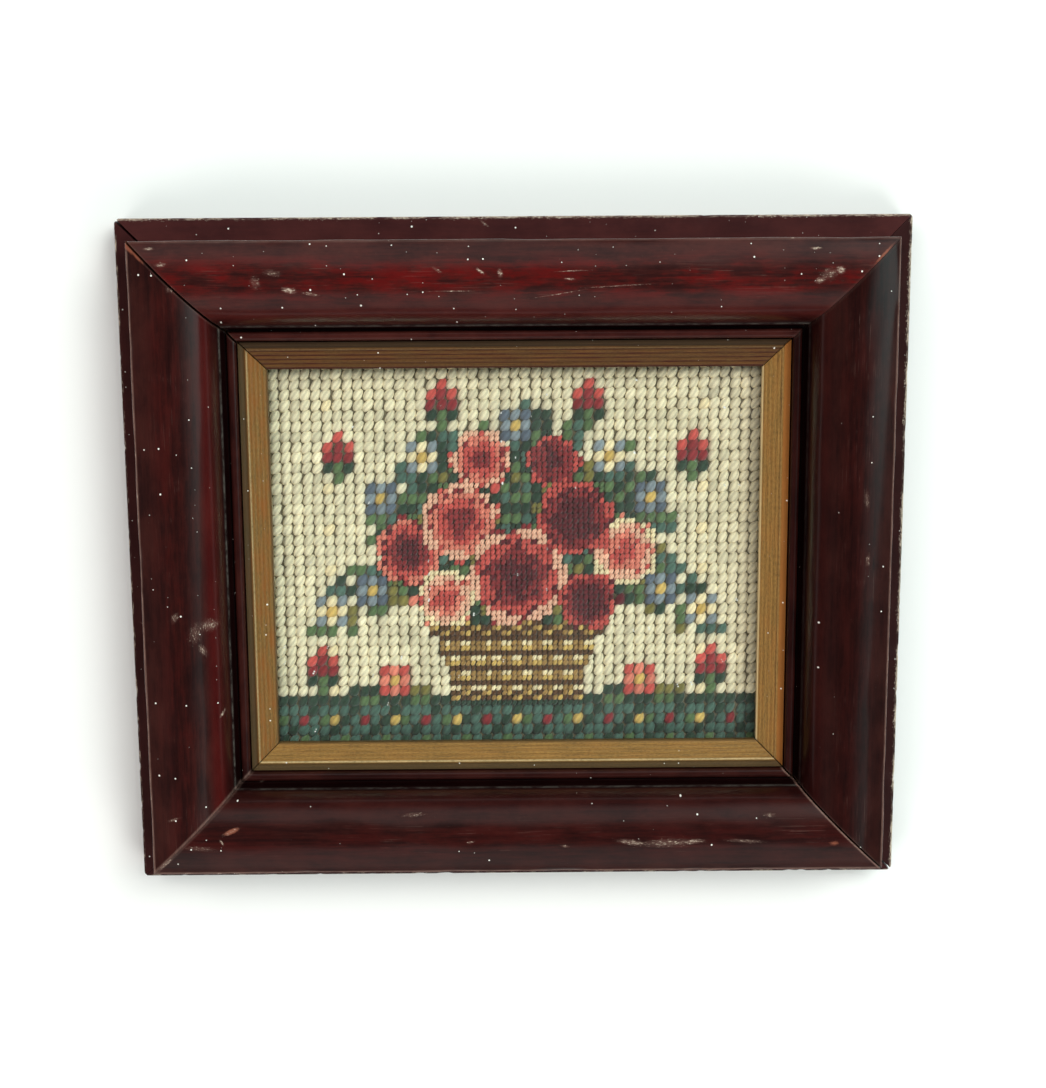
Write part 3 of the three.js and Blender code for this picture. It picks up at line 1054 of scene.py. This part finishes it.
# Points of the strands at x, y: t runs from -1 to 1 between a strand's ends and a runs round it. Its
# width and thickness are powers of 1 less |t|, and it dips by the fourth power of t.
def stitchPoints(x, y, scale, rings, around, rng):
    n = len(x)
    t = np.sin(np.linspace(-1, 1, rings + 2) * math.pi / 2)[None, :, None]
    a = np.linspace(0, 2 * math.pi, around, endpoint=False)[None, None, :]

    def vary(amount):
        return 1 + amount * rng.normal(size=(n, 1, 1))

    swell = (1 - np.abs(t) ** 2.2) ** 0.6
    along = stitch["halfLength"] * vary(stitch["lengthVaries"]) * t + 0 * a
    across = stitch["halfWidth"] * vary(stitch["widthVaries"]) * swell * np.cos(a)
    rise = stitch["halfThickness"] * vary(stitch["thicknessVaries"]) * swell * np.sin(a)
    rise = rise - stitch["dip"] * t**4
    lean = np.radians(stitch["lean"] + stitch["leanVaries"] * rng.normal(size=(n, 1, 1)))
    bend = stitch["bend"] * (1 - t**2) * rng.normal(size=(n, 1, 1))
    px = along * np.cos(lean) - (across + bend) * np.sin(lean)
    py = along * np.sin(lean) + (across + bend) * np.cos(lean)
    jitter = stitch["jitter"] * rng.normal(size=(2, n, 1, 1))
    px = x[:, None, None] + scale * (px + jitter[0])
    py = y[:, None, None] + scale * (py + jitter[1])
    top = cloth["stitchTop"] - stitch["halfThickness"] * scale * 1.06
    ones = np.ones_like(along)
    strand = [np.cos(a) * ones, t * ones, rng.random((n, 1, 1)) * ones]
    return np.stack([px, py, top + scale * rise], -1), np.stack(strand, -1)


# Faces of one strand: quads between its rings and a fan at each end, whose point is the ring's first
def strandFaces(rings, around, count):
    quads = tubeFaces(rings, around)[0]
    first, last = rings * around, rings * around + 1
    k = np.arange(around)
    start = np.stack([np.full(around, first), (k + 1) % around, k], -1)
    top = (rings - 1) * around
    end = np.stack([top + k, top + (k + 1) % around, np.full(around, last)], -1)
    offset = np.arange(count)[:, None, None] * (rings * around + 2)
    return [(group[None] + offset).reshape(-1, group.shape[1]) for group in (quads, start, end)]


# Rings of points (n, rings + 2, around, k) to a list per strand, with one point for each closed end
def closeEnds(rings):
    n, count, around, k = rings.shape
    middle = rings[:, 1:-1].reshape(n, (count - 2) * around, k)
    return np.concatenate([middle, rings[:, :1, 0], rings[:, -1:, 0]], axis=1).reshape(-1, k)


def woolMaterial():
    material, wire = newMaterial("wool")
    yarn = wire.add("ShaderNodeAttribute", {"attribute_name": "yarn"}, output=0)
    strand = wire.attribute("strand")
    place = wire.place()
    across, along = strand.part(0), strand.part(1)
    plies = (across * 5.6 + along * 1.3 + strand.part(2) * 6.0).math("SINE") * 0.5 + 0.5
    fibres = strand.scaled(5.0, 1.2, 40).noise(scale=2.2, detail=3, roughness=0.7)
    fuzz = place.noise(scale=2600, detail=1)
    # lighter on the plies' crests and darker between them: painted shade; fibres and fuzz vary the
    # tone at random
    shade = plies.step(0.0, 0.75) * 0.26 + fibres * 0.28 + fuzz * 0.14 + 0.68
    finish = {
        "Base Color": yarn.level(shade),
        "Roughness": 0.92,
        "Specular IOR Level": 0.15,
        "Sheen Weight": 0.25,
        "Sheen Roughness": 0.6,
        "Normal": (plies * 0.8 + fibres * 0.35 + fuzz * 0.2).bump(0.16 * mm, 0.9),
    }
    principled(wire, finish)
    return material


def canvasMaterial():
    material, wire = newMaterial("canvas")
    place = wire.place()
    fibre = place.noise(scale=1800, detail=3)
    # painted shade: the canvas is dark as the gaps between stitches
    colour = fibre.mix(cloth["canvasDark"], cloth["canvasLight"])
    finish = {"Base Color": colour, "Roughness": 0.9, "Normal": fibre.bump(0.1 * mm, 0.8)}
    principled(wire, finish)
    return material


# Canvas: two faces over one grid. Warp and weft pass over and under each other, so the height is
# the product of a wave along x and a wave along y, each two threads long.
def makeCanvas():
    low, high = clothBox
    count = (2 * cloth["columns"] + 1, 2 * cloth["rows"] + 3)
    xs = np.linspace(low.x, high.x, count[0])
    ys = np.linspace(low.y, high.y, count[1])
    x, y = np.meshgrid(xs, ys, indexing="ij")
    wave = math.pi / (cloth["pitch"] * mm)
    weave = cloth["weaveDepth"] * mm * np.cos(wave * x) * np.cos(wave * y)
    bottom = low.z + cloth["canvasLift"] * mm
    upper = np.stack([x, y, bottom + cloth["canvasThickness"] * mm + weave], -1)
    lower = np.stack([x, y, bottom + weave], -1)
    points = np.concatenate([upper.reshape(-1, 3), lower.reshape(-1, 3)])
    index = np.arange(count[0] * count[1]).reshape(count)
    quads = np.stack([index[:-1, :-1], index[1:, :-1], index[1:, 1:], index[:-1, 1:]], -1)
    quads = quads.reshape(-1, 4)
    under = quads[:, ::-1] + index.size
    rim = np.concatenate([index[:-1, 0], index[-1, :-1], index[:0:-1, -1], index[0, :0:-1]])
    after = np.roll(rim, -1)
    edge = np.stack([after, rim, rim + index.size, after + index.size], -1)
    return newPiece("canvas", points, [quads, under, edge], canvasMaterial(), 60)


# The stitches stand on a square net of the canvas's pitch, four small ones for a coarse one where the
# pattern is fine
def makeNeedlepoint():
    rng = np.random.default_rng(11)
    pitch = cloth["pitch"]
    columns = (np.arange(cloth["columns"]) - (cloth["columns"] - 1) / 2) * pitch
    rows = (np.arange(cloth["rows"]) - (cloth["rows"] - 1) / 2) * pitch
    x, y = (grid.ravel() for grid in np.meshgrid(columns, rows, indexing="ij"))
    petit = patternColours(x, y)[1]
    quarter = np.array([[-1, -1], [1, -1], [-1, 1], [1, 1]]) * pitch / 4
    fineX = (x[petit, None] + quarter[:, 0]).ravel()
    fineY = (y[petit, None] + quarter[:, 1]).ravel()
    # where the stitches are, their size, and how many rings and points round a ring each has
    groups = {
        "stitchesGround": (x[~petit], y[~petit], 1.0, 5, 8),
        "stitchesRoses": (fineX, fineY, 0.51, 4, 7),
    }
    material = woolMaterial()
    for name, (gx, gy, size, rings, around) in groups.items():
        points, strand = stitchPoints(gx, gy, size, rings, around, rng)
        lots = 1 + stitch["colourVaries"] * rng.normal(size=(len(gx), 1))
        yarn = patternColours(gx, gy)[0] * lots
        yarn = np.repeat(yarn, rings * around + 2, axis=0)
        attributes = {"strand": closeEnds(strand), "yarn": yarn}
        faces = strandFaces(rings, around, len(gx))
        points = closeEnds(points) * mm
        newPiece(name, points, faces, material, 180, attributes)
    canvas = makeCanvas()
    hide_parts("needlepoint")
    size = clothBox[1] - clothBox[0]


makeNeedlepoint()
print("needlepoint made")


# Backing board
board = {"edge": 0.35, "colour": screen(146, 112, 78), "dark": screen(110, 82, 56)}


def boardMaterial():
    material, wire = newMaterial("hardboard")
    place = wire.place()
    fibre = place.noise(scale=900, detail=5, roughness=0.7)
    cloud = place.noise(scale=25, detail=4)
    colour = (fibre * 0.7 + cloud * 0.4).step(0.3, 0.8).mix(board["dark"], board["colour"])
    finish = {"Base Color": colour, "Roughness": 0.85, "Normal": fibre.bump(0.08 * mm, 0.8)}
    principled(wire, finish)
    return material


# A flat block with softened edges: its rings are oblongs at four heights, drawn in by e at the lowest
# and the highest
def makeBoard():
    low, high = (np.array(corner) for corner in boardBox)
    e = board["edge"] * mm
    middle, halfSize = (low + high)[:2] / 2, (high - low)[:2] / 2
    inset = np.array([e, 0, 0, e])[:, None, None]
    heights = np.array([low[2], low[2] + e, high[2] - e, high[2]])[:, None, None]
    signs = np.array([[-1, -1], [1, -1], [1, 1], [-1, 1]])[None]
    flat = middle + signs * (halfSize - inset)
    points = np.concatenate([flat, np.broadcast_to(heights, (4, 4, 1))], -1).reshape(-1, 3)
    faces = tubeFaces(4, 4)
    piece = newPiece("hardboardBack", points, faces, boardMaterial(), 30)
    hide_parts("backing_board")


# Framer's points: thin steel kites, driven into the rebate's wall
steelPoints = {
    "inWood": 4.2,
    "overBoard": 7.0,
    "width": 9.0,
    "bevel": 0.12,
    "places": ((-38, 38), (-27, 27)),  # along the long sides and along the short ones
    "steel": screen(176, 178, 180),
    "tarnish": screen(120, 108, 98),
}


def steelMaterial():
    material, wire = newMaterial("dull steel")
    place = wire.place()
    brushed = place.scaled(200, 1400, 200).noise(detail=4)
    tarnish = place.noise(scale=160, detail=4).step(0.4, 0.75)
    colour = tarnish.mix(steelPoints["steel"], steelPoints["tarnish"])
    finish = {
        "Base Color": colour,
        "Metallic": 1.0,
        "Roughness": brushed * 0.2 + 0.3,
        "Normal": brushed.bump(0.02 * mm, 0.5),
    }
    principled(wire, finish)
    return material


# A kite outline at four heights, drawn in by the bevel at the lowest and the highest
def makePoints():
    material = steelMaterial()
    wall, half = rail["rebateInward"], steelPoints["width"] / 2
    over = steelPoints["overBoard"]
    shoulder, blunt = 0.2 * over, half / 3
    kite = np.array([
        (0, -steelPoints["inWood"]), (half, shoulder), (blunt, over), (-blunt, over), (-half, shoulder)
    ])
    centre = kite.mean(axis=0)
    bevel = steelPoints["bevel"]
    low, high = pointBox[0].z / mm, pointBox[1].z / mm
    shrink = 1 - np.array([bevel, 0, 0, bevel])[:, None, None] / half
    flat = centre + (kite - centre)[None] * shrink
    heights = np.array([low, low + bevel, high - bevel, high])[:, None, None]
    for side, name in enumerate(sideNames):
        out = lipHalf[1 - side % 2]
        for k, place in enumerate(steelPoints["places"][side % 2]):
            spots = np.stack(turned(flat[..., 0] + place, flat[..., 1] + wall - out, side), -1)
            spots = np.concatenate([spots, np.broadcast_to(heights, (*flat.shape[:2], 1))], -1)
            spots = spots.reshape(-1, 3) * mm
            faces = tubeFaces(4, len(kite))
            piece = newPiece(
                f"framersPoint_{name}_{k + 1}", spots, faces, material, 30
            )
            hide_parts(f"point_{name}_{k + 1}")


makeBoard()
makePoints()
print("back made")


# Room: a pale floor under soft lamps that stand off the corners and aren't mirrored. The rails and the
# glass mirror the room itself: dim overhead, paler low down beyond the picture's top and foot, with a
# broad pane of light on the right that ends at a clear lower edge.
room = {
    "floor": (0.93, 0.925, 0.92),
    "floorFar": (0.55, 0.48, 0.46),
    "beyond": (0.86, 0.86, 0.85),  # what the camera sees past the floor
    "floorGlows": (0.9, 3.0),  # metres from the picture, from none to all of it
    "floorReach": 30,
    "dim": 0.05,
    "horizon": {"level": 0.7, "below": 0.2},  # heights are sines of the angle
    # three paler parts of the walls: heights from low to high, and how far to its own side each begins
    "foot": {"level": 0.64, "low": 0.3, "high": 0.85, "soft": 0.1, "begins": (0.25, 0.55)},
    "top": {"level": 0.78, "low": 0.5, "high": 1.1, "soft": 0.15, "begins": (0.2, 0.5)},
    "left": {"level": 0.07, "low": 0.35, "high": 0.8, "soft": 0.2, "begins": (-0.1, 0.3)},
    "patch": {"toward": (0.13, -0.075, 0.985), "from": 0.9955, "to": 0.9998, "level": 2.2},
    "paneEdge": 0.677,
    "paneDrop": 0.3,  # the pane's edge is lower straight on the right
    "paneTop": 0.97,
    "paneStrength": 1.1,
    "paneColour": (0.55, 1.0, 0.98),
    "lamps": [
        {"at": (0.78, 0.74, 1.45), "size": 0.8, "power": 17.4, "colour": (1.0, 0.975, 0.93)},
        {"at": (-0.75, 0.75, 1.4), "size": 0.8, "power": 7.8, "colour": (1.0, 0.98, 0.95)},
        {"at": (0.9, -0.9, 1.1), "size": 0.8, "power": 8.7, "colour": (1.0, 0.98, 0.95)},
        {"at": (-0.9, -0.9, 1.1), "size": 0.8, "power": 6.5, "colour": (1.0, 0.98, 0.95)},
    ],
}


# The floor: one large face that the lamps light near the picture, and that glows as pale as the
# horizon further off
def makeFloor():
    reach = room["floorReach"]
    corners = [(-reach, -reach, 0), (reach, -reach, 0), (reach, reach, 0), (-reach, reach, 0)]
    mesh = bpy.data.meshes.new("floor")
    mesh.from_pydata(corners, [], [[0, 1, 2, 3]])
    floor = bpy.data.objects.new("floor", mesh)
    bpy.context.collection.objects.link(floor)
    material, wire = newMaterial("floor")
    away = wire.place().length()
    finish = {
        "Base Color": (*room["floor"], 1),
        "Roughness": 0.9,
        "Specular IOR Level": 0.1,
        "Emission Color": away.step(*room["floorGlows"]).mix((0, 0, 0), room["floorFar"]),
        "Emission Strength": 1.0,
    }
    principled(wire, finish)
    mesh.materials.append(material)


def makeRoom():
    world = bpy.data.worlds.new("room")
    world.use_nodes = True
    world.node_tree.nodes.clear()
    bpy.context.scene.world = world
    wire = Wire(world.node_tree)
    direction = wire.add("ShaderNodeTexCoord")
    right, up, rise = direction.part(0), direction.part(1), direction.part(2)
    toward = {
        "top": up - right.math("ABSOLUTE"),
        "foot": -1 * up - right.math("ABSOLUTE"),
        "left": -1 * right - up.math("ABSOLUTE"),
    }
    level = rise.step(room["horizon"]["below"], 0.05) * room["horizon"]["level"] + room["dim"]
    for name, side in toward.items():
        part = room[name]
        mask = side.step(*part["begins"])
        level = mask * rise.band(part["low"], part["high"], part["soft"]) * part["level"] + level
    patch = room["patch"]
    toPatch = right * patch["toward"][0] + up * patch["toward"][1] + rise * patch["toward"][2]
    level = toPatch.step(patch["from"], patch["to"]) * patch["level"] + level
    straight = (up + 0.02).step(-0.2, 0.05)
    edge = straight * -room["paneDrop"] + room["paneEdge"]
    above = (rise - edge).step(-0.012, 0.012)
    fade = rise.step(room["paneTop"], 0.5) * 0.9 + 0.1
    pane = above * fade * (straight * 0.8 + 1) * right.step(0.1, 0.4)
    pane = pane * rise.step(room["paneTop"] + 0.02, room["paneTop"] - 0.1)
    shine = wire.add("ShaderNodeAddShader", None, {
        0: wire.add("ShaderNodeBackground", None, {"Color": (1, 0.97, 0.93, 1), "Strength": level}),
        1: wire.add("ShaderNodeBackground", None, {
            "Color": (*room["paneColour"], 1), "Strength": pane * room["paneStrength"],
        }),
    })
    seen = wire.add("ShaderNodeLightPath")
    plain = wire.add("ShaderNodeBackground", None, {"Color": (*room["beyond"], 1), "Strength": 1.0})
    shine = wire.add("ShaderNodeMixShader", None, {0: seen, 1: shine, 2: plain})
    wire.add("ShaderNodeOutputWorld", None, {"Surface": shine})


def makeLamps():
    for k, row in enumerate(room["lamps"]):
        lamp = bpy.data.lights.new(f"lamp_{k}", "AREA")
        lamp.shape = "SQUARE"
        lamp.size = row["size"]
        lamp.energy = row["power"]
        lamp.color = row["colour"]
        stand = bpy.data.objects.new(f"lamp_{k}", lamp)
        stand.location = row["at"]
        stand.rotation_euler = (-stand.location).to_track_quat("-Z", "Y").to_euler()
        stand.visible_glossy = False  # the gloss mirrors the room alone
        bpy.context.collection.objects.link(stand)


makeFloor()
makeRoom()
makeLamps()
print("room lit")
